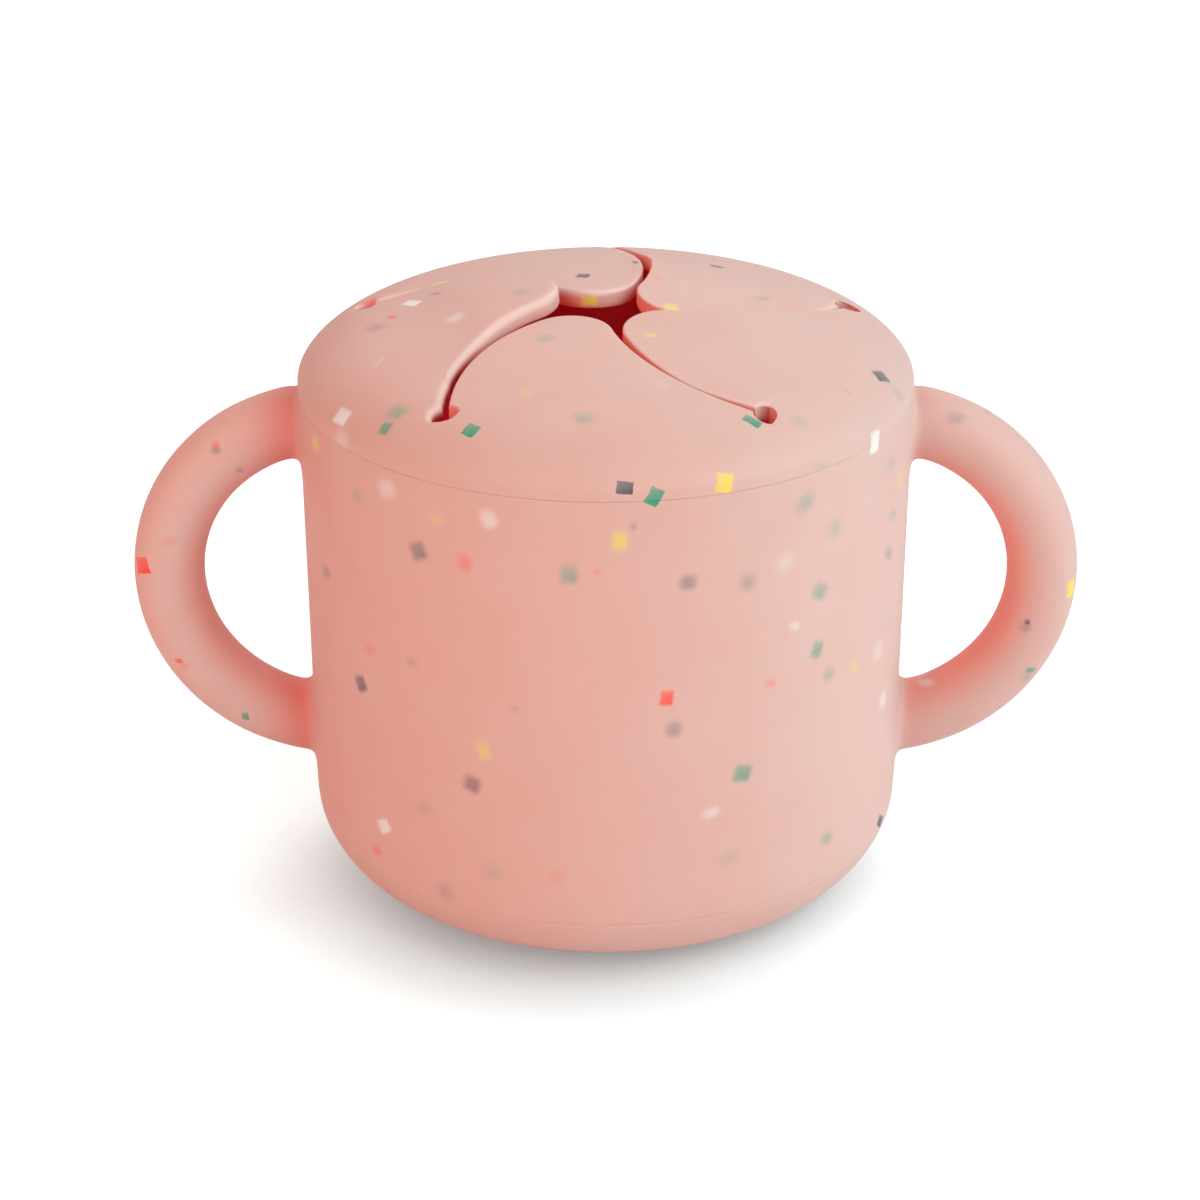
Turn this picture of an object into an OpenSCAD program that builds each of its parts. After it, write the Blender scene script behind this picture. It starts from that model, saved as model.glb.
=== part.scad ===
// Toddler snack container: a soft silicone cup with a round handle on each
// side, and a push-on lid whose domed top is slit like a pinwheel into five
// springy flaps. A small hand pushes in between the flaps and they close again.
// Origin: centre of the base, on the table. +X runs towards the right handle,
// +Z up. Sizes in millimetres.

/* [Part shown] */
// Which piece to show

/* [Cup] */
// Outside diameter of the cup at its rim
rim_d = 88; // [84:1:94]
// Height of the cup's rim above the table
rim_z = 74.8; // [74:0.4:86]
// How much smaller the cup's diameter gets down to the table
draft = 1.8; // [0:0.2:3]
// Radius of the rounded edge around the base
base_r = 12.6; // [8:0.2:15]
// Thickness of the cup's wall
wall = 3; // [2.4:0.1:3.4]
// Thickness of the cup's floor
floor_t = 3.4; // [2.4:0.2:5]

/* [Handles] */
// Thickness of the round handle bar
bar_d = 10.4; // [8:0.2:11]
// Radius of the handle's ring, to the middle of the bar
ring_r = 24.2; // [22.6:0.2:24.8]
// How far the middle of the ring lies inside the cup's wall
ring_in = 4.2; // [3.4:0.2:6.2]
// Height of the middle of the handles
handle_z = 44.8; // [42.4:0.2:44.8]
// Fillet where a handle grows out of the wall
root_fillet = 2.2; // [1:0.2:3]

/* [Lid] */
// How wide the rounded shoulder of the lid is
shoulder_w = 13.2; // [10:0.4:15]
// How high the shoulder rises
shoulder_h = 6.9; // [5:0.1:8]
// Thickness of the lid's top and of its flaps
top_t = 2.5; // [2:0.1:2.8]
// How deep the lid's plug reaches into the cup
plug_h = 8; // [6:0.5:12]
// Thickness of the plug's wall
plug_t = 2; // [1.7:0.1:2.1]

/* [Flaps] */
// Distance of the round slit ends from the middle
slit_end = 36.9; // [35.5:0.1:37]
// Width of the slits
slit_w = 0.9; // [0.6:0.1:1.2]
// Diameter of the round hole that ends each slit
slit_hole_d = 3.2; // [2.6:0.2:3.6]
// Swirl of the slits, in degrees
swirl = 52; // [48:1:56]
// Radius of the rounded tip of each flap
tip_r = 6.4; // [4:0.2:8]
// How far the left flap stands up, in degrees
lift_left = 4.4; // [-6:0.2:8]
// How far the back left flap hangs down, in degrees
drop_back_left = 2; // [-6:0.2:6]

/* [Hidden] */
$fn = 120;
rim_r = rim_d / 2;
low_r = (rim_d - draft) / 2;
slope = atan2(rim_r - low_r, rim_z);
edge = 0.3;                       // chamfers that make the fine groove at the seam
ease = 0.05;                      // running gap of the plug's ribs and the flap roots
// rounded base edge, tangent to the table and to the drafted wall
base_x = low_r + base_r * tan(slope) - base_r / cos(slope);
// cavity
bore_r = rim_r - wall;
bore_z = rim_z - plug_h - 1.5;
in_r = base_r - wall;
in_low = low_r - wall;
in_slope = atan2(bore_r - in_low, bore_z - floor_t);
in_x = in_low + in_r * tan(in_slope) - in_r / cos(in_slope);
// handles
ring_x = rim_r - ring_in;
root_a = acos((rim_r - 0.4 - ring_x) / ring_r);
seam_gap = 0.3;
// lid: a short upright band, a soft shoulder, then a shallow crown tangent to it
band = 1.3;
full = 1.65;                      // 2 would make the shoulder an ellipse
t_crown = 71.5;                   // where along the shoulder the crown takes over
function shoulder(t) = [rim_r - shoulder_w * (1 - pow(cos(t), 2 / full)),
                        rim_z + band + shoulder_h * pow(sin(t), 2 / full)];
crown_r = shoulder(t_crown)[0];
crown_z = shoulder(t_crown)[1];
crown_k = shoulder_h / shoulder_w * pow(1 / tan(t_crown), 2 - 2 / full) / (2 * crown_r);
top_z = crown_z + crown_k * crown_r * crown_r;
function crown(r) = [r, top_z - crown_k * r * r];
SHOULDER = [for (t = [0, 4, 9, 15, 22, 30, 38, 46, 54, 62.5, t_crown]) shoulder(t)];
CROWN = [for (i = [7:-1:0]) crown(crown_r * i / 8)];
DOME = concat(SHOULDER, CROWN);
function dome_z(r) = lookup(r, [for (i = [len(DOME) - 1:-1:0]) DOME[i]]);
// plug below the lid
plug_r = bore_r - 0.4;
plug_in = plug_r - plug_t;
rib = 0.35;
under_r = plug_in - 2.4;
under_z = dome_z(under_r) - top_t;
// pinwheel: five slits, each an arc from near the middle to a round end hole
COUNT = 5;
step = 360 / COUNT;
pass = 0.34;                      // how far a slit's arc misses the middle
arc_c = (slit_end * slit_end - pass * pass) / (2 * (slit_end * cos(swirl) - pass));
arc_r = arc_c - pass;
hole_r = slit_hole_d / 2;
in_arc = arc_r - slit_w / 2;      // a flap lies inside one slit's circle
out_arc = arc_r + slit_w / 2;     // and outside the next one's
cen_a = arc_c * [cos(swirl - step / 2), sin(swirl - step / 2)];
cen_b = arc_c * [cos(swirl + step / 2), sin(swirl + step / 2)];
gap_ab = norm(cen_b - cen_a);
dir_ab = (cen_b - cen_a) / gap_ab;
off_a = in_arc - tip_r;
off_b = out_arc + tip_r;
along = (off_a * off_a - off_b * off_b + gap_ab * gap_ab) / (2 * gap_ab);
across = sqrt(off_a * off_a - along * along);
tip_c = cen_a + along * dir_ab + across * [-dir_ab[1], dir_ab[0]];
touch_a = cen_a + in_arc * (tip_c - cen_a) / off_a;
touch_b = cen_b + out_arc * (tip_c - cen_b) / off_b;
tip_dir = atan2(touch_b[1] - touch_a[1], touch_b[0] - touch_a[0]);
// root of a flap: a straight fold between two neighbouring end holes
fold_x = slit_end * cos(step / 2);
fold_half = slit_end * sin(step / 2) - hole_r;
fold_room = 0.4;                  // room past a fold's ends for the flap's corners as it bends
fold_z = (dome_z(fold_x) + dome_z(slit_end) - top_t) / 2;
fold_r = (dome_z(fold_x) - dome_z(slit_end) + top_t) / 2 + 0.25;
big = 3 * rim_d;

// Outline of the cup's body, filled: round base edge, drafted side, fine rim edge
module body_solid() {
    rotate_extrude()
        union() {
            translate([base_x, base_r]) circle(r = base_r);
            polygon([[0, 0], [base_x, 0], [base_x + base_r * cos(slope), base_r * (1 - sin(slope))],
                     [rim_r, rim_z - edge], [rim_r - edge, rim_z], [0, rim_z]]);
        }
}

// The hollow that holds the snacks, with a straight bore for the lid's plug
module cavity() {
    rotate_extrude()
        union() {
            translate([in_x, floor_t + in_r]) circle(r = in_r);
            polygon([[0, floor_t], [in_x, floor_t],
                     [in_x + in_r * cos(in_slope), floor_t + in_r * (1 - sin(in_slope))],
                     [bore_r, bore_z], [bore_r, rim_z + 1], [0, rim_z + 1]]);
        }
}

// Cup: one thick-walled silicone bowl that stands on its flat base
module cup_shell() {
    color([0.88, 0.64, 0.59])
        difference() {
            body_solid();
            cavity();
        }
}

// Flared root of a handle, widening where the bar meets the wall
module handle_root() {
    wide = bar_d / 2 + 0.6 * root_fillet;
    translate([0, 0, -1.5]) cylinder(r = wide, h = 1.5);
    cylinder(r1 = wide, r2 = bar_d / 2 - 0.3, h = root_fillet);
}

// One handle: a round bar bent to most of a circle, both ends grown into the wall
module handle() {
    intersection() {
        difference() {
            translate([ring_x, 0, handle_z])
                union() {
                    rotate([90, 0, 0]) rotate_extrude() translate([ring_r, 0]) circle(d = bar_d);
                    for (s = [-1, 1])
                        translate([ring_r * cos(root_a), 0, s * ring_r * sin(root_a)])
                            rotate([0, 90 + s * (90 - root_a), 0]) handle_root();
                }
            body_solid();
        }
        translate([0, -rim_r, 0]) cube([rim_d, rim_d, rim_z - seam_gap]);
    }
}

module handle_right() {
    color([0.90, 0.66, 0.60]) handle();
}

module handle_left() {
    color([0.90, 0.66, 0.60]) rotate([0, 0, 180]) handle();
}

// The lid before it is cut: domed top, shoulder, and the ribbed plug below it
module lid_blank() {
    rotate_extrude()
        polygon(concat(
            [[rim_r - edge, rim_z], [rim_r, rim_z + edge]],
            DOME,
            [for (i = [0:7]) crown(crown_r * i / 8) - [0, top_t]],
            [crown(crown_r) - [0, top_t], [under_r, under_z],
             [plug_in, under_z - 2], [plug_in, rim_z - plug_h], [plug_r - 0.5, rim_z - plug_h],
             [plug_r, rim_z - plug_h + 0.8],
             [plug_r, rim_z - plug_h + 1.8], [plug_r + rib, rim_z - plug_h + 2.4], [plug_r, rim_z - plug_h + 3],
             [plug_r, rim_z - 3], [plug_r + rib, rim_z - 2.4], [plug_r, rim_z - 1.8],
             [plug_r, rim_z]]));
}

// The five round holes that keep the slits from tearing further
module slit_holes() {
    for (i = [0:COUNT - 1])
        rotate([0, 0, -90 + step / 2 + i * step])
            translate([slit_end, 0, rim_z]) cylinder(r = hole_r, h = top_z - rim_z + 1);
}

// Round bed on the fold line of the flap whose root faces +X
module fold_bed(r, half) {
    translate([fold_x, -half, fold_z])
        rotate([-90, 0, 0]) cylinder(r = r, h = 2 * half);
}

// Lid ring: everything outside the five folds, with the plug that seals the cup
module lid_ring() {
    color([0.89, 0.69, 0.64])
        difference() {
            lid_blank();
            translate([0, 0, rim_z])
                rotate([0, 0, -90 + step / 2])
                    linear_extrude(height = top_z - rim_z + 1)
                        polygon([for (i = [0:COUNT - 1]) slit_end * [cos(i * step), sin(i * step)]]);
            for (i = [0:COUNT - 1])
                rotate([0, 0, -90 + i * step]) fold_bed(fold_r + ease, fold_half + fold_room);
            slit_holes();
        }
}

// Outline of a flap seen from above, its root facing +X: a curved petal
module petal() {
    intersection() {
        union() {
            difference() {
                translate(cen_a) circle(r = in_arc);
                translate(cen_b) circle(r = out_arc);
                translate(touch_a) rotate(tip_dir) translate([-big, 0]) square([2 * big, big]);
            }
            translate(tip_c) circle(r = tip_r);
        }
        translate([-rim_d, -rim_d]) square([rim_d + fold_x, 2 * rim_d]);
    }
}

// One flap: a piece of the domed top that bends along its fold
module flap(turn, lift) {
    rotate([0, 0, turn])
        translate([fold_x, 0, fold_z]) rotate([0, lift, 0]) translate([-fold_x, 0, -fold_z])
            difference() {
                intersection() {
                    lid_blank();
                    union() {
                        translate([0, 0, rim_z]) linear_extrude(height = top_z - rim_z + 1) petal();
                        intersection() {
                            fold_bed(fold_r, fold_half);
                            translate([fold_x - ease, -rim_r, rim_z]) cube([rim_r, rim_d, rim_r]);
                        }
                    }
                }
                for (s = [-1, 1])
                    rotate([0, 0, s * step / 2])
                        translate([slit_end, 0, rim_z]) cylinder(r = hole_r, h = top_z - rim_z + 1);
            }
}

module flap_front() {
    color([0.90, 0.71, 0.66]) flap(-90, 0);
}

module flap_right() {
    color([0.91, 0.73, 0.68]) flap(-90 + step, 0);
}

module flap_back_right() {
    color([0.90, 0.71, 0.66]) flap(-90 + 2 * step, 0);
}

module flap_back_left() {
    color([0.91, 0.73, 0.68]) flap(-90 + 3 * step, -drop_back_left);
}

module flap_left() {
    color([0.90, 0.71, 0.66]) flap(-90 + 4 * step, lift_left);
}

cup_shell();
handle_left();
handle_right();
lid_ring();
flap_front();
flap_right();
flap_back_right();
flap_back_left();
flap_left();
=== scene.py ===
# %% [markdown]
# # Toddler snack container
# A soft silicone cup with a ring handle on each side and a push-on domed lid.
# The lid's top is slit like a pinwheel into five springy flaps, so that a
# small hand can reach in and the snacks stay in when the cup tips over.
# Each step below first says what the piece is on the real object, then how
# it could be made, and why this way was chosen.

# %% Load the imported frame
from math import acos, atan2, copysign, cos, degrees, dist, exp, hypot, pi, radians, sin, sqrt, tan

import bmesh
import bpy
from mathutils import Matrix, Vector


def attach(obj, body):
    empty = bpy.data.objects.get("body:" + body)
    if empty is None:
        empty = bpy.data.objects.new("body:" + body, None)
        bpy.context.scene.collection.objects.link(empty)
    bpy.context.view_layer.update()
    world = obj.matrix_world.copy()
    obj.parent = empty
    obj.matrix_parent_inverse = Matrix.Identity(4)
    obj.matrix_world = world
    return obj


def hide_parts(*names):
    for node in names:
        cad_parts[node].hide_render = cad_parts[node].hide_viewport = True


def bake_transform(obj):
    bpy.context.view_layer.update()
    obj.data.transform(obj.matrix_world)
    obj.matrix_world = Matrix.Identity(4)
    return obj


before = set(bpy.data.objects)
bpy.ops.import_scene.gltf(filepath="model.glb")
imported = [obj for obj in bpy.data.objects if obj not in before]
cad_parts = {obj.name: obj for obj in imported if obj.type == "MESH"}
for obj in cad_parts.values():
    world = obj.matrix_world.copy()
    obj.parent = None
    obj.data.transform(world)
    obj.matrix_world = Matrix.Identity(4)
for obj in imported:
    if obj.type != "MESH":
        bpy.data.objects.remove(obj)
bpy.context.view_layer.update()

MM = 0.001

# %% [markdown]
# ## Working by rings
# Almost every piece here is a skin over a stack of closed rings: the cup and
# the lid are round, and a flap is a petal-shaped ring that shrinks to its
# middle. By hand one adds a circle, extrudes it, and scales and moves the new
# ring, again and again. The helpers below do just that, so that each piece
# is only a list of rings. A turned profile could be spun instead, but a spin
# gives no petals, and one way of working is easier to follow.

# %% Choose and place points
def start_fresh():
    """Leaves edit mode and deselects everything, as the CAD nodes come in selected."""
    if bpy.context.object is not None and bpy.context.object.mode != "OBJECT":
        bpy.ops.object.mode_set(mode="OBJECT")
    bpy.ops.object.select_all(action="DESELECT")


def chosen(mesh):
    """The selected points of a mesh in edit mode, in order."""
    mesh.verts.ensure_lookup_table()
    return [v for v in mesh.verts if v.select]


def place_ring(ring):
    """Puts the selected points at the ring's places, given in millimetres."""
    mesh = bmesh.from_edit_mesh(bpy.context.object.data)
    for vert, point in zip(chosen(mesh), ring):
        vert.co = Vector(point) * MM
    bmesh.update_edit_mesh(bpy.context.object.data)


# %% Close a stack of rings
def join_ends(piece, count):
    """Bridges the last ring of a stack to its first."""
    bpy.ops.mesh.select_all(action="DESELECT")
    mesh = bmesh.from_edit_mesh(piece.data)
    mesh.verts.ensure_lookup_table()
    mesh.verts.index_update()
    last = len(mesh.verts) - count
    for edge in mesh.edges:
        a, b = (v.index for v in edge.verts)
        if max(a, b) < count or min(a, b) >= last:
            edge.select = True
    bmesh.update_edit_mesh(piece.data)
    bpy.ops.mesh.bridge_edge_loops()


def cap_ends(piece, count):
    """Draws the last ring of a stack, which is selected, and then its first together to a point."""
    bpy.ops.mesh.merge(type="CENTER")
    mesh = bmesh.from_edit_mesh(piece.data)
    mesh.verts.ensure_lookup_table()
    for i, vert in enumerate(mesh.verts):
        vert.select = i < count
    mesh.select_flush(True)
    bmesh.update_edit_mesh(piece.data)
    bpy.ops.mesh.merge(type="CENTER")


# %% A ring-by-ring modeller
def skin(name, rings, looped=False):
    """A skin over rings of equal count. looped joins the last ring to the first, else both ends close."""
    start_fresh()
    count = len(rings[0])
    bpy.ops.mesh.primitive_circle_add(vertices=count, radius=10 * MM, enter_editmode=True)
    piece = bpy.context.object
    piece.name = name
    piece.data.name = name
    place_ring(rings[0])
    for ring in rings[1:]:
        bpy.ops.mesh.extrude_region_move()
        place_ring(ring)
    close = join_ends if looped else cap_ends
    close(piece, count)
    bpy.ops.mesh.select_all(action="SELECT")
    bpy.ops.mesh.normals_make_consistent(inside=False)
    if bmesh.from_edit_mesh(piece.data).calc_volume(signed=True) < 0:
        bpy.ops.mesh.flip_normals()
    bpy.ops.object.mode_set(mode="OBJECT")
    print(name, len(piece.data.vertices), "points,", len(piece.data.polygons), "faces")
    return piece


# %% [markdown]
# ## Sizes
# The cup is 88 mm across at the rim and the lid meets it 74.8 mm above the
# table. All sizes are those of the solid model, so the skins sit on it.

# %% Sizes in millimetres
RIM_R, RIM_Z = 44.0, 74.8
LOW_R = 43.1  # the drafted wall's radius, if it went on down to the table
WALL, FLOOR = 3.0, 3.4
BASE_R = 12.6  # rounding of the base's outer edge
BORE_R = RIM_R - WALL
BORE_Z = 65.3  # the bore is straight above this and tapers below it
BAR_R = 5.2  # a handle's bar
RING_R, RING_X, RING_Z = 24.2, 39.8, 44.8  # the ring that the bar is bent to, and its middle


def side_r(z):
    """Outside radius of the drafted wall at height z."""
    return LOW_R + (RIM_R - LOW_R) * z / RIM_Z


def polar(centre, radius, way):
    """The point at a distance from a centre and a bearing of some degrees."""
    a = radians(way)
    return (centre[0] + radius * cos(a), centre[1] + radius * sin(a))


def circle_ring(radius, height, count):
    """A round ring about the object's own axis."""
    return [(*polar((0, 0), radius, 360 * i / count), height) for i in range(count)]


print("wall", side_r(0), "to", side_r(RIM_Z), "bore", BORE_R)

# %% [markdown]
# ## Cup
# A silicone cup is pressed in a two-part mould: a drafted wall, a soft edge
# round the base, and a faint line where the mould halves met. It could be
# lathed from a curve, but rings let the rows of faces be laid out for the
# handles: six rows where each handle grows out of the wall.

# %% Cup profile and skin
AROUND = 96
ROOT_LOW = [14.2, 16.4, 18.65, 20.9, 23.5, 26.2, 28.85]  # heights of the rows at a handle's lower end
ROOT_HIGH = [60.75, 63.4, 66.05, 68.7, 70.6, 72.45, 74.28]  # and at its upper end
MOULD_LINE = {-14.3: 0.13}  # the mould's line: where on the base's edge, in degrees, and how deep
edge_x = LOW_R - BASE_R + 0.15
outer = [(r, 0.0) for r in (5, 11, 17, 23, 27.5, 29.8)]
for turn in (-90, -80, -70, -60, -50, -40, -30, -21, -16.2, -15, -14.3, -13.6, -12.4, -7):
    outer.append(polar((edge_x, BASE_R), BASE_R - MOULD_LINE.get(turn, 0), turn))
heights = [BASE_R] + ROOT_LOW + [32.5, 36.5, 40.6, 44.8, 49, 53, 57] + ROOT_HIGH
outer += [(side_r(z), z) for z in heights]
rim = [(44.0, 74.66), (43.98, 74.75), (43.92, 74.8), (43.2, 74.8),
       (42, 74.8), (41.35, 74.8), (41.06, 74.68), (41, 74.4)]
inner = [(BORE_R, z) for z in (73, 70, 66.5, BORE_Z)]
inner += [(BORE_R - 0.9 * (BORE_Z - z) / (BORE_Z - FLOOR), z) for z in (60, 52, 44, 36, 28, 20, 15)]
inner += [polar((edge_x, 13.0), 9.6, turn) for turn in range(-10, -91, -16)]
inner += [(r, FLOOR) for r in (27, 20, 13, 6)]
cup = skin("cup_skin", [circle_ring(r, z, AROUND) for r, z in outer + rim + inner])

# %% [markdown]
# ## Handles
# Each handle is a round bar bent to most of a ring, moulded in one with the
# cup, with a small fillet all round where it leaves the wall. By hand: cut a
# patch of faces out of the wall, round its border, spin a circle into the
# ring, and bridge the two with a few smooth cuts. A boolean would leave no
# fillet, and a bevel on its ragged edge would tear.

# %% Round holes in the wall for the roots
FLARE = 2.3  # how much wider than the bar a root is, to the sides
HALF = 3  # a root's patch is twice this many faces wide and high
COLUMN = radians(360 / AROUND)
POINT = radians(360 / (8 * HALF))


def border_angle(col, row):
    """Bearing on the round hole of a point of the square patch's border."""
    if abs(col) == HALF and abs(row) == HALF:
        return atan2(row, col)
    if abs(col) == HALF:
        return atan2(0, col) + row * POINT * (1 if col > 0 else -1)
    return copysign(pi / 2, row) - col * POINT * (1 if row > 0 else -1)


def root_hole(side, rows):
    """Takes the wall's faces away at one root and rounds the border that they leave."""
    mesh = bmesh.from_edit_mesh(cup.data)
    for face in mesh.faces:
        c = face.calc_center_median() / MM
        turn = abs(atan2(c.y, side * c.x))
        outside = hypot(c.x, c.y) > side_r(c.z) - 1
        face.select = outside and turn < (HALF + 0.5) * COLUMN - 0.02 and rows[0] < c.z < rows[-1]
    bmesh.update_edit_mesh(cup.data)
    bpy.ops.mesh.delete(type="FACE")
    mesh = bmesh.from_edit_mesh(cup.data)
    for v in mesh.verts:
        if not v.is_boundary or v.co.x * side < 0 or not rows[0] - 1 < v.co.z / MM < rows[-1] + 1:
            continue
        col = round(atan2(v.co.y, side * v.co.x) / COLUMN)
        row = min(range(len(rows)), key=lambda i: abs(rows[i] - v.co.z / MM)) - HALF
        angle = border_angle(col, row)
        tall = rows[-1] - rows[HALF] if sin(angle) > 0 else rows[HALF] - rows[0]
        y, z = (BAR_R + FLARE) * cos(angle), rows[HALF] + tall * sin(angle)
        v.co = Vector((side * sqrt(side_r(z) ** 2 - y ** 2), y, z)) * MM
    bmesh.update_edit_mesh(cup.data)


start_fresh()
bpy.context.view_layer.objects.active = cup
cup.select_set(True)
bpy.ops.object.mode_set(mode="EDIT")
bpy.ops.mesh.select_all(action="DESELECT")
bpy.ops.mesh.select_mode(type="FACE")
for side in (1, -1):
    for rows in (ROOT_LOW, ROOT_HIGH):
        root_hole(side, rows)
bpy.ops.object.mode_set(mode="OBJECT")
print("cup with four holes:", len(cup.data.polygons), "faces")

# %% [markdown]
# The bar is a spun circle. Its last two rings at each end turn until they
# stand parallel to the wall, because a bridge at an angle would bulge.

# %% Bend the bars
BAR_COUNT = 8 * HALF
START = 63.0  # how far up and down the ring, in degrees, the round bar proper goes
NEAR_WALL = 46.6  # x of the bar's last ring


def lean_to_wall(bar, side, end):
    """Adds two rings to one end of a bar, upper or lower, that lead it to the wall."""
    bpy.ops.mesh.select_all(action="DESELECT")
    bpy.ops.mesh.select_mode(type="EDGE")
    mesh = bmesh.from_edit_mesh(bar.data)
    for e in mesh.edges:
        e.select = e.is_boundary and all((v.co.z / MM - RING_Z) * end > 0 for v in e.verts)
    bmesh.update_edit_mesh(bar.data)
    for share in (0.5, 1.0):
        bpy.ops.mesh.extrude_region_move()
        mesh = bmesh.from_edit_mesh(bar.data)
        for v in chosen(mesh):
            rad = hypot(side * v.co.x / MM - RING_X, v.co.z / MM - RING_Z)
            stop = acos((NEAR_WALL - RING_X) / rad)
            at = radians(START) + (stop - radians(START)) * share
            v.co.x = side * (RING_X + rad * cos(at)) * MM
            v.co.z = (RING_Z + end * rad * sin(at)) * MM
        bmesh.update_edit_mesh(bar.data)


bars = []
for side in (1, -1):
    start_fresh()
    at = radians(START)
    out = Vector((side * cos(at), 0, sin(at)))
    middle = Vector((side * RING_X, 0, RING_Z)) + out * RING_R
    bpy.ops.mesh.primitive_circle_add(vertices=BAR_COUNT, radius=BAR_R * MM, enter_editmode=True)
    bar = bpy.context.object
    turns = [2 * pi * i / BAR_COUNT for i in range(BAR_COUNT)]
    place_ring([middle + (Vector((0, 1, 0)) * cos(a) + out * sin(a)) * BAR_R for a in turns])
    bpy.ops.mesh.spin(steps=24, angle=-side * 2 * at, axis=(0, 1, 0),
                      center=(side * RING_X * MM, 0, RING_Z * MM))
    for end in (1, -1):
        lean_to_wall(bar, side, end)
    bpy.ops.object.mode_set(mode="OBJECT")
    bars.append(bar)
    print("bar", side, [round(c / MM, 1) for c in bar.data.vertices[-1].co])

# %% [markdown]
# Three cuts in each bridge give the fillet. One round of subdivision then
# smooths cup and handles together, as they are one moulding.

# %% Bridge the bars to the wall
start_fresh()
for piece in [cup] + bars:
    piece.select_set(True)
bpy.context.view_layer.objects.active = cup
bpy.ops.object.join()
bpy.ops.object.mode_set(mode="EDIT")
for side in (1, -1):
    for low in (True, False):
        bpy.ops.mesh.select_all(action="DESELECT")
        bpy.ops.mesh.select_mode(type="EDGE")
        mesh = bmesh.from_edit_mesh(cup.data)
        for e in mesh.edges:
            c = (e.verts[0].co + e.verts[1].co) / 2 / MM
            if e.is_boundary and c.x * side > 0 and (c.z < RING_Z) == low:
                e.select = True
        bmesh.update_edit_mesh(cup.data)
        bpy.ops.mesh.bridge_edge_loops(number_cuts=3, interpolation="SURFACE", smoothness=1.0)
bpy.ops.mesh.select_all(action="SELECT")
bpy.ops.mesh.normals_make_consistent(inside=False)
bpy.ops.object.mode_set(mode="OBJECT")
smooth = cup.modifiers.new("Subdivision", "SUBSURF")
smooth.levels = smooth.render_levels = 1
bpy.ops.object.modifier_apply(modifier=smooth.name)
bpy.ops.object.shade_smooth()
print("cup", len(cup.data.polygons), "faces")

# %% [markdown]
# ## The lid's dome
# The lid rises in a short upright band, turns in over a soft shoulder and
# ends in a shallow crown: a superellipse, and a parabola that takes over
# where both lean alike. A formula gives the height anywhere, which the
# swirling outlines need; a turned profile gives it only along a radius.

# %% Heights of the lid
BAND = 1.3  # height of the upright band
SHOULDER_W, SHOULDER_H = 13.2, 6.9
FULL = 1.65  # the superellipse: 2 is an ellipse, 1 a straight slope
T_CROWN = 71.5  # how far round the shoulder the crown begins, in degrees
TOP_T = 2.5  # thickness
UNDER_R, PLUG_IN = 36.2, 38.6  # where the underside starts down, and the plug's inside radius


def shoulder(t):
    """Radius and height of the shoulder, t degrees round it."""
    t = radians(t)
    return (RIM_R - SHOULDER_W * (1 - cos(t) ** (2 / FULL)),
            RIM_Z + BAND + SHOULDER_H * sin(t) ** (2 / FULL))


CROWN_R, CROWN_Z = shoulder(T_CROWN)
lean = SHOULDER_H / SHOULDER_W * (1 / tan(radians(T_CROWN))) ** (2 - 2 / FULL)
CROWN_K = lean / (2 * CROWN_R)
TOP_Z = CROWN_Z + CROWN_K * CROWN_R ** 2


def dome(r):
    """Height of the lid's top at radius r."""
    if r <= CROWN_R:
        return TOP_Z - CROWN_K * r * r
    c = max(0.0, (r - RIM_R + SHOULDER_W) / SHOULDER_W) ** (FULL / 2)
    return RIM_Z + BAND + SHOULDER_H * max(0.0, 1 - c * c) ** (1 / FULL)


UNDER_Z = dome(UNDER_R) - TOP_T


def under(r):
    """Height of the lid's underside at radius r."""
    return dome(r) - TOP_T if r <= UNDER_R else UNDER_Z - (r - UNDER_R) * 2 / (PLUG_IN - UNDER_R)


print("top of the lid", round(TOP_Z, 2))

# %% [markdown]
# ## The pinwheel
# Five slits swirl from a small star in the middle to round holes near the
# edge, which keep the silicone from tearing further. Every slit is an arc,
# so a few circles give all the outlines: A is the slit on a flap's near
# side, B the one on its far side. A flap and the ring around it use the same
# cut line between them, so that the two skins meet point for point.

# %% Circles of the pinwheel
FIFTH = 72.0
SLIT_END, SLIT_W, HOLE = 36.9, 0.9, 1.8  # how far out a slit ends, its width, its hole's radius
SWIRL = 52.0  # bearing of a slit's arc centre, counted from the slit's end
PASS = 0.34  # how close to the lid's middle the arcs pass
TIP_R = 6.4  # rounding of a flap's tip
CUT_Y = 15.0  # where a cut line ends on the far slit
FLAP_TURNS = [radians(-90 + FIFTH * k) for k in range(5)]


def bearing(centre, point):
    """Bearing in degrees of a point from a centre."""
    return degrees(atan2(point[1] - centre[1], point[0] - centre[0]))


def meet(c1, r1, c2, r2, left):
    """Where two circles cross, on the left or right of the way from c1 to c2."""
    d = dist(c1, c2)
    a = (r1 * r1 - r2 * r2 + d * d) / (2 * d)
    h = sqrt(max(0.0, r1 * r1 - a * a)) * (1 if left else -1)
    ux, uy = (c2[0] - c1[0]) / d, (c2[1] - c1[1]) / d
    return (c1[0] + a * ux - h * uy, c1[1] + a * uy + h * ux)


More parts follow.
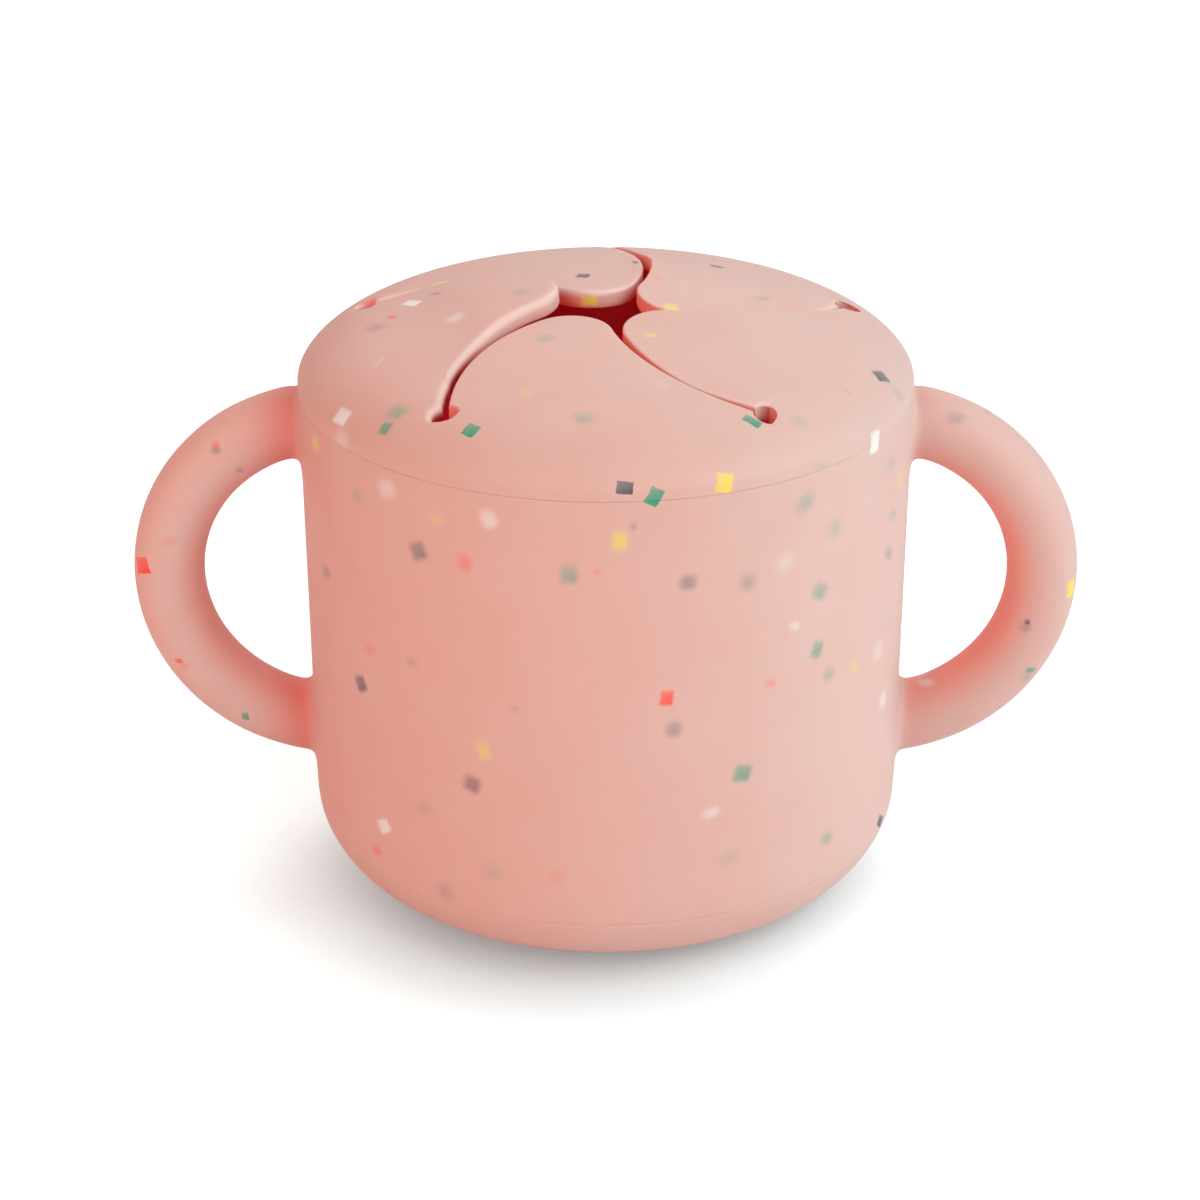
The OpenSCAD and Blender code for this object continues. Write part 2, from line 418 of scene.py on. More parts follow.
ARC_C = (SLIT_END ** 2 - PASS ** 2) / (2 * (SLIT_END * cos(radians(SWIRL)) - PASS))
IN_ARC, OUT_ARC = ARC_C - PASS - SLIT_W / 2, ARC_C - PASS + SLIT_W / 2
CEN_A, CEN_B = (polar((0, 0), ARC_C, SWIRL + half) for half in (-FIFTH / 2, FIFTH / 2))
HOLE_A, HOLE_B = (polar((0, 0), SLIT_END, half) for half in (-FIFTH / 2, FIFTH / 2))
TIP_C = meet(CEN_A, IN_ARC - TIP_R, CEN_B, OUT_ARC + TIP_R, True)
cut_end = (CEN_B[0] + sqrt(OUT_ARC ** 2 - (CEN_B[1] - CUT_Y) ** 2), CUT_Y)
CUT_WAY = bearing(HOLE_A, cut_end)
print("tip centre", [round(c, 2) for c in TIP_C], "cut", round(CUT_WAY, 2))

# %% [markdown]
# The rounded edges need each outline again, drawn in by tenths of a
# millimetre. Each stretch of it has a fixed number of points, so that the
# rings still match.

# %% Outlines of a flap and of the opening
CUT_N, HOLE_N, SIDE_N, TIP_N, STUB_N, NOOK_N = 36, 22, 36, 16, 8, 6  # points on each stretch


def run(start, end, count):
    """count points from start towards end, the end left out."""
    (ax, ay), (bx, by) = start, end
    return [(ax + (bx - ax) * i / count, ay + (by - ay) * i / count) for i in range(count)]


def sweep(centre, radius, a, b, count):
    """count points along an arc from bearing a to b, the end left out."""
    return [polar(centre, radius, a + (b - a) * i / count) for i in range(count)]


def spun(x, y, turn):
    """A point turned about the lid's middle."""
    return (x * cos(turn) - y * sin(turn), x * sin(turn) + y * cos(turn))


def cut_ends(off):
    """The ends of the cut line, with the slits' edges drawn back by off: at the hole, and on the far slit."""
    near = polar(HOLE_A, HOLE + off, CUT_WAY)
    d = polar((0, 0), 1, CUT_WAY)
    rel = (HOLE_A[0] - CEN_B[0], HOLE_A[1] - CEN_B[1])
    b = rel[0] * d[0] + rel[1] * d[1]
    c = rel[0] ** 2 + rel[1] ** 2 - (OUT_ARC + off) ** 2
    s = -b - sqrt(b * b - c)
    return near, (HOLE_A[0] + s * d[0], HOLE_A[1] + s * d[1])


def petal(off):
    """Outline of a flap with its root facing +X: cut line, hole, near slit, tip, far slit."""
    near, far = cut_ends(off)
    side_a, side_b = IN_ARC - off, OUT_ARC + off
    into_a = min(meet(HOLE_A, HOLE + off, CEN_A, side_a, left) for left in (True, False))
    touch_a = polar(CEN_A, side_a, bearing(CEN_A, TIP_C))
    touch_b = polar(CEN_B, side_b, bearing(CEN_B, TIP_C))
    points = run(far, near, CUT_N)
    points += sweep(HOLE_A, HOLE + off, CUT_WAY, bearing(HOLE_A, into_a), NOOK_N)
    points += sweep(CEN_A, side_a, bearing(CEN_A, into_a) % 360, bearing(CEN_A, touch_a) % 360, SIDE_N)
    points += sweep(TIP_C, TIP_R - off, bearing(TIP_C, touch_a) % 360, bearing(TIP_C, touch_b) % 360, TIP_N)
    points += sweep(CEN_B, side_b, bearing(CEN_B, touch_b), bearing(CEN_B, far), SIDE_N)
    return points


def opening(off):
    """Inner outline of the lid's ring: for each fifth the cut line, the slit's stub and the hole."""
    near, far = cut_ends(off)
    side_b = OUT_ARC + off
    stub = min((meet(HOLE_B, HOLE + off, CEN_B, side_b, left) for left in (True, False)), key=lambda p: p[1])
    fifth = run(near, far, CUT_N)
    fifth += sweep(CEN_B, side_b, bearing(CEN_B, far), bearing(CEN_B, stub), STUB_N)
    fifth += sweep(HOLE_B, HOLE + off, bearing(HOLE_B, stub), CUT_WAY + FIFTH, HOLE_N)
    return [spun(x, y, turn) for turn in FLAP_TURNS for x, y in fifth]


print("a flap's outline has", len(petal(0)), "points, the opening's", len(opening(0)))

# %% [markdown]
# ## Soft edges along the slits
# Three flaps lie flush, and their slits look cut, with a crisp top edge. The
# left one stands a little proud and the back left one hangs a little, as
# they had settled in use, and there the moulded rounding shows. A bevel
# modifier could round them, but rings let the radius change along an edge.

# %% Rounded top edges
CRISP, SOFT = 0.3, 1.1  # radius of the top edges: cut ones, and the softer ones of two flaps
LOW_EDGE = 0.45  # radius of a flap's lower edges
EDGE_STEPS = [radians(90 * i / 5) for i in range(6)]  # round a top edge, from the wall up
# each flap, from the front one on towards the right, as it has settled: degrees bent up about its fold,
# degrees twisted about its length, millimetres its tip has moved to the right, and 1 for softer edges
FLAPS = {"flap_front": (0, 0, 0, 0), "flap_right": (-0.5, 3.0, 0.45, 0),
         "flap_back_right": (-0.6, 7.0, 0.4, 0), "flap_back_left": (-0.3, 0, -0.2, 1),
         "flap_left": (4.4, 0, -1.1, 1)}


def raised(points, height, drop=0.0):
    """A flat outline raised to a height that depends on the radius, less drop."""
    return [(x, y, height(hypot(x, y)) - drop) for x, y in points]


def edge_rings(outline, softness):
    """Rings round a slit's top edge, from the wall up. softness is each point's, 0 to 1."""
    stack = []
    for t in EDGE_STEPS:
        crisp, wide = (outline(radius * (1 - cos(t))) for radius in (CRISP, SOFT))
        ring = []
        for (ax, ay), (bx, by), share in zip(crisp, wide, softness):
            x, y = ax + (bx - ax) * share, ay + (by - ay) * share
            drop = (CRISP + (SOFT - CRISP) * share) * (1 - sin(t))
            ring.append((x, y, dome(hypot(x, y)) - drop))
        stack.append(ring)
    return stack


def eased(count, start, end):
    """count values from start to end, the end left out, easing at both ends."""
    steps = [i / count for i in range(count)]
    return [start + (end - start) * s * s * (3 - 2 * s) for s in steps]


print("soft flaps:", [name for name, settling in FLAPS.items() if settling[3]])

# %% [markdown]
# ## Lid ring
# The part of the lid outside the flaps: top, shoulder and band, the flange
# that rests on the cup's rim, and the plug with two soft ribs that grip the
# bore. It is one closed skin, so its rings start at the underside, go down
# inside the plug, up outside it, over the shoulder and back to the opening.

# %% Lid ring skin
PLUG_R = 40.6
RIB = ((0, -0.65), (0.06, -0.5), (0.25, -0.25), (0.34, 0), (0.25, 0.25), (0.06, 0.5), (0, 0.65))
RIB_Z = (69.2, 72.4)
T_EDGE = 44  # how far round the shoulder the even circles end, in degrees
opening_line = opening(0)
PER = len(opening_line)


def between(flat, radius, share):
    """A ring part of the way from a flat outline to a circle whose points are spread evenly."""
    first = atan2(flat[0][1], flat[0][0])
    points = []
    for i, (x, y) in enumerate(flat):
        a = first + 2 * pi * i / PER
        points.append((x + (radius * cos(a) - x) * share, y + (radius * sin(a) - y) * share))
    return points


def circles(profile):
    """A circle for each radius and height of a profile, with as many points as the opening."""
    return [[(x, y, z) for x, y in between(opening_line, r, 1.0)] for r, z in profile]


softness = []
for lift, twist, sway, soft in FLAPS.values():
    softness += eased(CUT_N, 0, soft) + [soft] * STUB_N + eased(HOLE_N, soft, 0)
edges = edge_rings(opening, softness)
high = [(x, y) for x, y, z in edges[-1]]

lid_rings = [raised(between(opening_line, PLUG_IN, s), under) for s in (0, 0.12, 0.3, 0.5, 0.7, 0.85)]
lid_rings += circles((PLUG_IN, z) for z in (UNDER_Z - 2, 76, 72, 68, 67.1))
lid_rings += circles(((38.75, 66.87), (39.1, 66.8), (39.9, 66.8), (40.3, 66.95)))
lid_rings += circles(((40.55, 67.3), (PLUG_R, 67.8)))
lid_rings += circles((PLUG_R + out, z + up) for z in RIB_Z for out, up in RIB)
lid_rings += circles(((PLUG_R, 74.75), (40.75, RIM_Z), (42.2, RIM_Z), (43.6, RIM_Z), (43.92, RIM_Z)))
lid_rings += circles(((43.97, 74.83), (43.995, 74.9), (RIM_R, 75.05), (RIM_R, 75.6)))
lid_rings += circles(shoulder(t) for t in (0, 2, 4.5, 7.5, 11, 15, 19.5, 24, 29, 34, 39, T_EDGE))
for share in (0.9, 0.78, 0.65, 0.52, 0.4, 0.28, 0.18, 0.1, 0.04):
    lid_rings.append(raised(between(high, shoulder(T_EDGE)[0], share), dome))
lid_rings += reversed(edges)
lid_rings += [raised(opening_line, dome, drop) for drop in (1.6, 2.1)]
lid = skin("lid_ring_skin", lid_rings, looped=True)

# %% [markdown]
# ## Flaps
# Five petals, each joined to the ring along its cut line. One is drawn with
# its root towards +X, and its rings are settled and turned to each place. A
# lattice could bend them, but one formula for a point is easier to check.

# %% How a flap has settled
FOLD_X = HOLE_A[0]
FOLD_Z = (dome(FOLD_X) + dome(SLIT_END) - TOP_T) / 2
BEND = 13.0  # over how many millimetres a flap bends
HEART = (20.0, -7.5)  # the point that a flap's inner rings shrink to
SHARES = (0.97, 0.92, 0.85, 0.76, 0.66, 0.55, 0.44, 0.33, 0.22, 0.11)
way_in = (-sin(radians(CUT_WAY)), cos(radians(CUT_WAY)))  # square to the cut line


def settled(point, lift, twist, sway, turn):
    """A petal's point bent up, twisted, turned to its place round the lid and moved with its tip."""
    x, y, z = point
    moved = sway * min(1.0, max(0.0, (FOLD_X - x) / (FOLD_X - TIP_C[0]))) ** 2
    depth = ((x - HOLE_A[0]) * way_in[0] + (y - HOLE_A[1]) * way_in[1]) / BEND
    share = min(1.0, max(0.0, depth))
    share = share * share * (3 - 2 * share)
    z += (y - TIP_C[1]) * tan(radians(twist)) * share
    a = radians(lift * share)
    dx, dz = x - FOLD_X, z - FOLD_Z
    x, z = FOLD_X + dx * cos(a) + dz * sin(a), FOLD_Z - dx * sin(a) + dz * cos(a)
    x, y = spun(x, y, turn)
    return (x + moved, y, z)


# %% [markdown]
# A flap's rings start in the middle of its underside, pass over its edge and
# end in the middle of its top.

# %% Flap skins
def shrunk(points, share):
    """A flat outline drawn in towards the heart of a flap."""
    return [(HEART[0] + (x - HEART[0]) * share, HEART[1] + (y - HEART[1]) * share) for x, y in points]


petal_line, under_line = petal(0), petal(LOW_EDGE)


def petal_rings(soft):
    """The rings of a flap, whose far side and tip are soft or not."""
    softness = eased(CUT_N, soft, 0) + [0.0] * (NOOK_N + SIDE_N) + eased(TIP_N, 0, soft) + [soft] * SIDE_N
    edges = edge_rings(petal, softness)
    high = [(x, y) for x, y, z in edges[-1]]
    stack = [raised(shrunk(under_line, s), under) for s in reversed(SHARES)]
    stack += [raised(under_line, under), raised(petal(0.3 * LOW_EDGE), under, -0.3 * LOW_EDGE)]
    stack += [raised(petal_line, under, -LOW_EDGE), raised(petal_line, dome, 1.6)]
    return stack + edges + [raised(shrunk(high, s), dome) for s in SHARES]


flap_skins = {}
for turn, (name, (lift, twist, sway, soft)) in zip(FLAP_TURNS, FLAPS.items()):
    placed = [[settled(p, lift, twist, sway, turn) for p in ring] for ring in petal_rings(soft)]
    flap_skins[name] = skin(name + "_skin", placed)

# %% [markdown]
# Lid and flaps are shaded smooth, but where the lid rests on the rim the
# angle is sharp and stays so.

# %% Smooth shading
SHARP = radians(35)
for piece in [lid] + list(flap_skins.values()):
    start_fresh()
    piece.select_set(True)
    bpy.context.view_layer.objects.active = piece
    bpy.ops.object.shade_smooth_by_angle(angle=SHARP)
print("shaded smooth:", 1 + len(flap_skins), "pieces")

# %% [markdown]
# ## Where each point was made
# The chips and the clouding are solid patterns, cut through by the surface
# as in real silicone. A flap bends, so a pattern on the object's own
# coordinates would slide over it. Each skin therefore keeps the place where
# every point was made, in millimetres, and all the patterns read that.
# Silicone lets some light through, and what comes out is redder; here that
# light is painted into the colour. So each point also keeps its painted glow,
# above 0 where light comes through to it and below 0 for a painted highlight
# where the window lights an edge, and how deep it lies in a slit or in a
# handle's thick root, which sets a painted shade. Which way it faces gives a
# painted side light, redder to the left and paler to the right.

# %% Which way a point faces
def clamped(value, low=0.0):
    """A value held between low and 1."""
    return min(1.0, max(low, value))


def away(n):
    """1 where a normal faces left, away from the window, and 0 where it faces ahead or right."""
    return clamped(-1.6 * n.x)


def lit(n):
    """1 where a normal faces the window, ahead and to the right, and 0 where it faces up or away."""
    return clamped(1.1 * (0.6 * n.x - 0.8 * n.y))


def painted_side_light(x, n):
    """How far a point looks and lies to the right, 0 to 1, which sets the painted side light: redder to the
    left, paler to the right. The handles run through it faster.
    """
    body = 0.5 + 0.3 * n.x + 0.2 * clamped(x / RIM_R, -1.0)
    handle = 0.7 + 0.3 * n.x if x > 0 else 0.8 + 0.8 * n.x
    on_handle = clamped((abs(x) - 44.5) / 3)
    return clamped(body + (handle - body) * on_handle)


def top_normals(mesh):
    """Each point's normal. Where a crease splits it, the side that faces up counts."""
    best = [Vector((0, 0, -2))] * len(mesh.vertices)
    for loop, corner in zip(mesh.loops, mesh.corner_normals):
        if corner.vector.z > best[loop.vertex_index].z:
            best[loop.vertex_index] = corner.vector.copy()
    return best


# %% [markdown]
# A handle gets a painted glow inside its ring, where only light that has
# passed through it is seen, and a painted shade, a deep coral, where it runs
# into the thick wall.

# %% Painted glow and shade at the handles
# painted glow and painted shade: none nearer to the middle than the first, and a root's painted shade reaches
# along the bar and beside it on the wall as far as the next two say
PAINTED_GLOW_X = 38  # nothing nearer to the middle than this glows
SPREAD, EDGE = 5, 3  # how far a root's glow reaches along the bar, and how far beside it on the wall


def handle_painted_light(v, n):
    """The painted glow and the depth of painted shade of a point of the cup: a painted glow inside a handle's
    ring and a painted shade at its roots.
    """
    x, y, z = (c / MM for c in v.co)
    off_wall = hypot(x, y) - side_r(z)
    if abs(x) < PAINTED_GLOW_X or off_wall < -1:
        return 0.0, 0.0
    from_middle = hypot(abs(x) - RING_X, z - RING_Z)
    beside_root = max(0.0, abs(abs(z - RING_Z) - RING_R + 0.2) - BAR_R + 0.2)
    at_root = max(0.0, 1 - beside_root / EDGE) if off_wall < 1 else 1.0
    root = exp(-(max(0.0, off_wall - 1.5) / SPREAD) ** 2) * at_root * clamped((off_wall + 0.3) / 1.2)
    inner_side = max(0.0, (RING_R - from_middle) / BAR_R) if off_wall > 1 else 0.0
    # painted glow inside the ring, more where it faces left, away from the window; painted shade at the
    # roots, mostly the left ones
    glow = 0.9 * inner_side ** 1.5 * (0.5 + 0.5 * away(n))
    return glow, 0.5 * root * (1.0 if x < 0 else 0.2)


# %% [markdown]
# Down in a slit the walls get a painted shade, from pink to crimson, a
# painted glow where they face away from the window, and a painted highlight
# where the window lights an edge. How dark a wall is depends on its ring,
# counted from the middle of the wall up to the edge.

# %% Painted glow, shade and highlight on the slits' walls
# painted light by ring: how much painted glow, how much painted highlight and how much painted crimson shade
# each ring gets
DARK = (1.0, 0.9, 0.7, 0.45, 0.25, 0.1, 0.0, 0.0)  # how far each ring is into the dark
PAINTED_HIGHLIGHT_STEPS = (0.0, 0.15, 0.5, 0.8, 1.0, 1.0, 0.7, 0.3)  # how much of the window's light it catches
PAINTED_SHADE_STEPS = (1.0, 1.0, 0.85, 0.4, 0.1, 0.0, 0.0, 0.0)  # how crimson it is where the slit is narrow


def facing(outline, cuts):
    """Which way the wall faces at each point of an outline; None along a cut line, which is no wall."""
    count, ways = len(outline), []
    for i in range(count):
        if i in cuts:
            ways.append(None)
            continue
        ends = [j % count if j % count not in cuts else i for j in (i - 1, i + 1)]
        (ax, ay), (bx, by) = (outline[j] for j in ends)
        ways.append(Vector((ay - by, bx - ax, 0)).normalized())
    return ways


def wall_painted_light(level, way, deep):
    """The painted glow and the depth of painted shade of a point on a slit's wall, by its ring's level and
    the way the wall faces. A wall that faces the window gets a painted highlight.
    """
    if level is None or way is None:
        return 0.0, 0.0
    painted_highlight = 0.5 * PAINTED_HIGHLIGHT_STEPS[level] * lit(way) * (1 - deep * DARK[level])
    return DARK[level] * away(way) - painted_highlight, PAINTED_SHADE_STEPS[level] * deep * (1 - away(way))


# %% [markdown]
# Both skins were made ring by ring, so a point's number tells its ring and
# its place on the outline.

# %% Painted light on the lid and the flaps
LEVELS = range(len(DARK))
lid_levels = {0: 0, **{len(lid_rings) - 1 - i: i for i in LEVELS}}
lid_ways = facing(opening_line, {k * (PER // 5) + i for k in range(5) for i in range(1, CUT_N)})
wall_foot = len(SHARES)  # a flap's ring at the foot of its wall
petal_levels = {wall_foot: 0, wall_foot + 1: 0, **{wall_foot + 2 + i: i for i in LEVELS}}
petal_ways = facing(petal_line, set(range(1, CUT_N)))


def lid_painted_light(v, n):
    """The painted glow and the depth of painted shade of a point of the lid's ring. The front slits' narrow
    stubs get the full painted shade.
    """
    ring, i = divmod(v.index, PER)
    return wall_painted_light(lid_levels.get(ring), lid_ways[i], 1.0 if v.co.y < 0 else 0.3)


def petal_painted_light(turn):
    """What gives the painted glow and the depth of painted shade on the flap at this turn. Near the star the
    painted shade is lighter.
    """
    turned_by = Matrix.Rotation(turn, 3, "Z")
    count = len(petal_line)

    def painted_light_of(v, n):
        ring, i = divmod(v.index, count)
        if petal_ways[i] is None:
            return 0.0, 0.0
        along = (i - count + SIDE_N) / SIDE_N if i else 1.0
        deep = max(clamped((along - 0.5) / 0.35), 1 - abs(i - CUT_N) / 6)
        return wall_painted_light(petal_levels.get(ring), turned_by @ petal_ways[i], deep)
    return painted_light_of


# %% [markdown]
# All this is stored on the points of each piece before it first moves.

# %% Keep the made places
def keep_places(piece, painted_light_of):
    """Stores each point's place in millimetres, its painted glow and the depth of its painted shade, and its
    painted side light, from how far it looks to the right.
    """
    points = piece.data.vertices
    normals = top_normals(piece.data)
    made = piece.data.attributes.new("made_place", "FLOAT_VECTOR", "POINT")
    made.data.foreach_set("vector", [c / MM for v in points for c in v.co])
    # the painted glow and painted shade of each point
    glow, deep = zip(*(painted_light_of(v, n) for v, n in zip(points, normals)))
    # the painted side light, from which way each point faces and where it lies
    side = [painted_side_light(v.co.x / MM, n) for v, n in zip(points, normals)]
    for name, values in (("glow", glow), ("deep", deep), ("side", side)):
        kept = piece.data.attributes.new(name, "FLOAT", "POINT")
        kept.data.foreach_set("value", values)
    print(piece.name, "glows up to", round(max(glow), 2), "and is deep up to", round(max(deep), 2))


keep_places(lid, lid_painted_light)
for turn, piece in zip(FLAP_TURNS, flap_skins.values()):
    keep_places(piece, petal_painted_light(turn))
keep_places(cup, handle_painted_light)

# %% [markdown]
# ## Colours
# Silicone pigment is soft: a pale salmon pink. Where light has come through
# it, a deeper red glow is painted into the colour. The colours are written as
# they look on screen and turned into the linear values that the shader works in.

# %% Colours
# painted side light: a shaded, redder copy of the pink for points that face or lie left, and a lit, paler
# copy for those that face right
SHADED_AND_LIT_PINK = ("#DFA897", "#DBC2B9")  # warm at the left, cooler at the right
# painted glow and painted crimson shade on a slit's walls
PAINTED_SLIT_GLOW, PAINTED_SLIT_SHADE = "#FF8E78", "#A0152B"  # a slit's walls: where light comes through, and deep down
# painted glow inside a handle's ring, and painted shade at its roots
PAINTED_HANDLE_GLOW, PAINTED_ROOT_SHADE = "#FFA090", "#E66A5A"  # inside a handle's ring, and at its roots
# painted highlight
PAINTED_EDGE_HIGHLIGHT = "#FBE6DE"  # edges that the window lights
# painted crimson shade and painted crimson glow inside the closed cup
PAINTED_INNER_SHADE, PAINTED_INNER_GLOW = "#FF4A48", "#860628"  # the closed cup's inside: its tint, and light through the wall
THROUGH = "#FF3A2A"  # light that comes out of the silicone again
# painted shade on the right handle
PAINTED_RIGHT_HANDLE_SHADE = (0.93, 0.93, 0.93, 1)  # the right handle, a shade deeper
BLACK = (0, 0, 0, 1)
TONES = {"teal": "#1F8E70", "butter": "#E3C550", "white": "#DFD8D2",
         "slate": "#4A555D", "coral": "#EE3E2C", "navy": "#322D45"}


def linear(hexa):
    """A colour written as sRGB hex, as linear red, green, blue and alpha."""
    parts = [int(hexa[i:i + 2], 16) / 255 for i in (1, 3, 5)]
    return tuple(p / 12.92 if p <= 0.04045 else ((p + 0.055) / 1.055) ** 2.4 for p in parts) + (1.0,)


# %% [markdown]
# Every material below is a tree of nodes, added one at a time with its
# settings and links, as in the shader editor.

# %% A node helper
def node(tree, kind, settings=(), links=()):
    """Adds a node with its settings, {attribute or input: value}, and links, {input: node or socket}."""
    new = tree.nodes.new(kind if kind.startswith("NodeGroup") else "ShaderNode" + kind)
    for key, value in dict(settings).items():
        if isinstance(key, str) and hasattr(new, key):
            setattr(new, key, value)
        else:
            new.inputs[key].default_value = value
    for key, source in dict(links).items():
        socket = source.outputs[0] if isinstance(source, bpy.types.Node) else source
        tree.links.new(socket, new.inputs[key])
    return new


print("pink", [round(c, 3) for c in linear(SHADED_AND_LIT_PINK[0])])

# %% [markdown]
# ## Confetti chips
# Small flat chips of coloured silicone are stirred into the pink before it
# is pressed. Some end up at the surface with crisp edges, others lie deeper
# and only show as a soft blot. Each is a box-shaped blot in a solid pattern.
# They could be small pieces of mesh, but those would stand proud, and a
# buried chip has no edge to model.

# %% One chip as a node group
SOCKETS = {"Place": "Vector", "Silicone": "Color", "Chip": "Color", "Where": "Vector", "Turn": "Vector",
           "Half": "Vector", "Core": "Float", "Blur": "Float", "Show": "Float", "Thin": "Float"}


def chip_group():
    """A chip over silicone: its middle, turn and half sizes, how far its even core goes, and how it fades."""
    tree = bpy.data.node_groups.new("confetti_chip", "ShaderNodeTree")
    for name, kind in SOCKETS.items():
        tree.interface.new_socket(name, in_out="INPUT", socket_type="NodeSocket" + kind)
    for name, kind in (("Color", "Color"), ("Thin", "Float")):
        tree.interface.new_socket(name, in_out="OUTPUT", socket_type="NodeSocket" + kind)
    given = node(tree, "NodeGroupInput").outputs
    at = node(tree, "Mapping", {"vector_type": "TEXTURE"},
              {"Vector": given["Place"], "Location": given["Where"],
               "Rotation": given["Turn"], "Scale": given["Half"]})
    size = node(tree, "VectorMath", {"operation": "ABSOLUTE"}, {0: at})
    # one corner dips under the pink, so that a chip is never quite even
    slope = node(tree, "VectorMath", {"operation": "DOT_PRODUCT", 1: (0.6, -0.8, 0.0)}, {0: at})
    dip = node(tree, "MapRange", {"From Min": -1.0, "To Min": 0.75}, {"Value": slope.outputs["Value"]})
    past = node(tree, "VectorMath", {"operation": "SUBTRACT"}, {0: size, 1: given["Core"]})
    beyond = node(tree, "VectorMath", {"operation": "MAXIMUM"}, {0: past})
    gap = node(tree, "VectorMath", {"operation": "LENGTH"}, {0: beyond})
    mask = node(tree, "MapRange", {"interpolation_type": "SMOOTHSTEP", "From Max": 0.0, "To Min": 0.0}, {
        "Value": gap.outputs["Value"], "From Min": given["Blur"], "To Max": given["Show"]})
    shown = node(tree, "Math", {"operation": "MULTIPLY"}, {0: mask, 1: dip})
    mix = node(tree, "Mix", {"data_type": "RGBA"}, {"Factor": shown, 6: given["Silicone"], 7: given["Chip"]})
    # light doesn't come through a chip
    block = node(tree, "MapRange", {"To Min": 1.0, "To Max": 0.15}, {"Value": shown})
    thin = node(tree, "Math", {"operation": "MULTIPLY"}, {0: given["Thin"], 1: block})
    node(tree, "NodeGroupOutput", (), {0: mix.outputs[2], 1: thin})
    return tree


CHIP = chip_group()
print("chip group:", len(CHIP.nodes), "nodes")

# %% [markdown]
# No two chips are alike in place or colour, so they are listed one by one.
# Two of them cross the seam between cup and lid and are in both lists.

# %% Where the chips lie
# (x, y, z, width, height, turn in degrees, colour, 1 = at the surface)
WALL_CHIPS = [
    (-40.5, -17, 72.1, 2.9, 2, 21, "butter", 0.5), (-29.8, -32.3, 71.8, 2.8, 2.4, 16, "white", 0.4),
    (-15.7, -41, 71.1, 2.2, 2.5, 28, "white", 0.5), (-22.8, -37.5, 69.6, 1.7, 1.4, 13, "butter", 0.3),
    (-25.5, -35.7, 64, 2.6, 2.5, 26, "slate", 0.6), (-19, -39.5, 64, 1.9, 2.3, 11, "coral", 0.4),
    (-4.9, -43.6, 64.1, 2.2, 2.5, 3, "teal", 0.5), (-1.2, -43.8, 64.6, 0.8, 0.9, 0, "coral", 0.3),
    (-39.5, -18.7, 53.1, 2.9, 1.7, 23, "slate", 0.35), (-32.9, -28.6, 45.7, 2.3, 1.6, 21, "coral", 0.28),
    (-34.5, -26.6, 39.4, 2.5, 2.3, 29, "navy", 0.7), (-26.9, -34.4, 46.6, 1.8, 1.2, 17, "slate", 0.14),
    (-34.1, -27.6, 68.6, 2.3, 2, 19, "teal", 0.2), (-43.4, -5.9, 61.7, 2.9, 1.7, 23, "white", 0.2),
    (1.8, -43.9, 69.2, 2, 2.7, -1, "butter", 0.65), (3.7, -43.8, 71.3, 0.8, 1.2, -2, "slate", 0.3),
    (11, -42.4, 62.5, 2.2, 2.1, -7, "slate", 0.5), (19.2, -39.4, 61.1, 2.3, 2.3, -29, "slate", 0.3),
    (26.9, -34.7, 70.7, 2.9, 2.3, 30, "teal", 0.35), (31.3, -30.7, 65.3, 2.9, 2.3, -18, "teal", 0.2),
    (24.3, -36.5, 62.7, 2.4, 2.2, -14, "white", 0.28), (29.4, -32.4, 56.5, 2.6, 2.3, -34, "teal", 0.5),
    (25.9, -35.2, 52.5, 1.7, 1.2, -16, "white", 0.45), (29.2, -32.4, 47.6, 2.1, 2.4, -22, "teal", 0.6),
    (31.1, -30.5, 42.9, 2.2, 2, -37, "teal", 0.35), (39.9, -17.8, 55.6, 2.9, 1.7, -27, "slate", 0.35),
    (40.4, -17, 61.3, 2.9, 1.7, -22, "teal", 0.25), (39.7, -18.8, 69.8, 2.9, 2, -21, "teal", 0.18),
    (41.4, -14.5, 65.5, 2.9, 2.5, -23, "butter", 0.35), (38.7, -20, 41.3, 2.9, 2.7, -29, "white", 0.35),
    (34.9, -26.1, 41.9, 2, 1.9, -22, "butter", 0.35), (22.6, -37.3, 44.8, 1.7, 1.4, 10, "coral", 0.28),
    (39.9, -17.2, 32.3, 2.9, 2.3, -28, "white", 0.5), (8.3, -42.8, 45.3, 1.8, 2.3, -5, "coral", 0.8),
    (9.3, -42.5, 40.4, 2.1, 2.3, -6, "slate", 0.42), (18.9, -39.1, 31.8, 2.6, 2.5, -13, "teal", 0.7),
    (14.6, -40.9, 26.5, 2.4, 1.5, 17, "white", 0.45), (31.6, -29.6, 16.3, 2.4, 1.8, -22, "teal", 0.4),
    (40.3, -15.4, 11.3, 2.9, 1.7, -35, "navy", 0.95), (-16.9, -40.1, 35.9, 1.9, 2.6, 12, "butter", 0.5),
    (-18.6, -39.3, 30.2, 2.5, 2.4, -14, "navy", 0.55), (-31.6, -29.6, 18.2, 2.6, 2.1, 33, "white", 0.75),
    (-32.8, -28.1, 13.5, 1.9, 1.4, 2, "coral", 0.5), (-22.8, -36.6, 11.5, 2.7, 2.6, 17, "slate", 0.2),
    (-25.5, -35, 24.1, 2.3, 2, 18, "slate", 0.1), (-15.9, -40.2, 16.7, 2.8, 2.5, 12, "teal", 0.12),
    (-6.8, -42.7, 17.4, 2, 1.9, 5, "coral", 0.15), (-12.4, -41.8, 43.1, 1.2, 1.1, 8, "slate", 0.12),
    (17.1, -39.8, 18.7, 2.9, 2, 9, "teal", 0.12),
    (36.9, -23.9, 75.1, 2.3, 3.1, -4, "white", 0.9), (6.4, -43.5, 75.4, 1.9, 2.5, -28, "teal", 0.95),
]
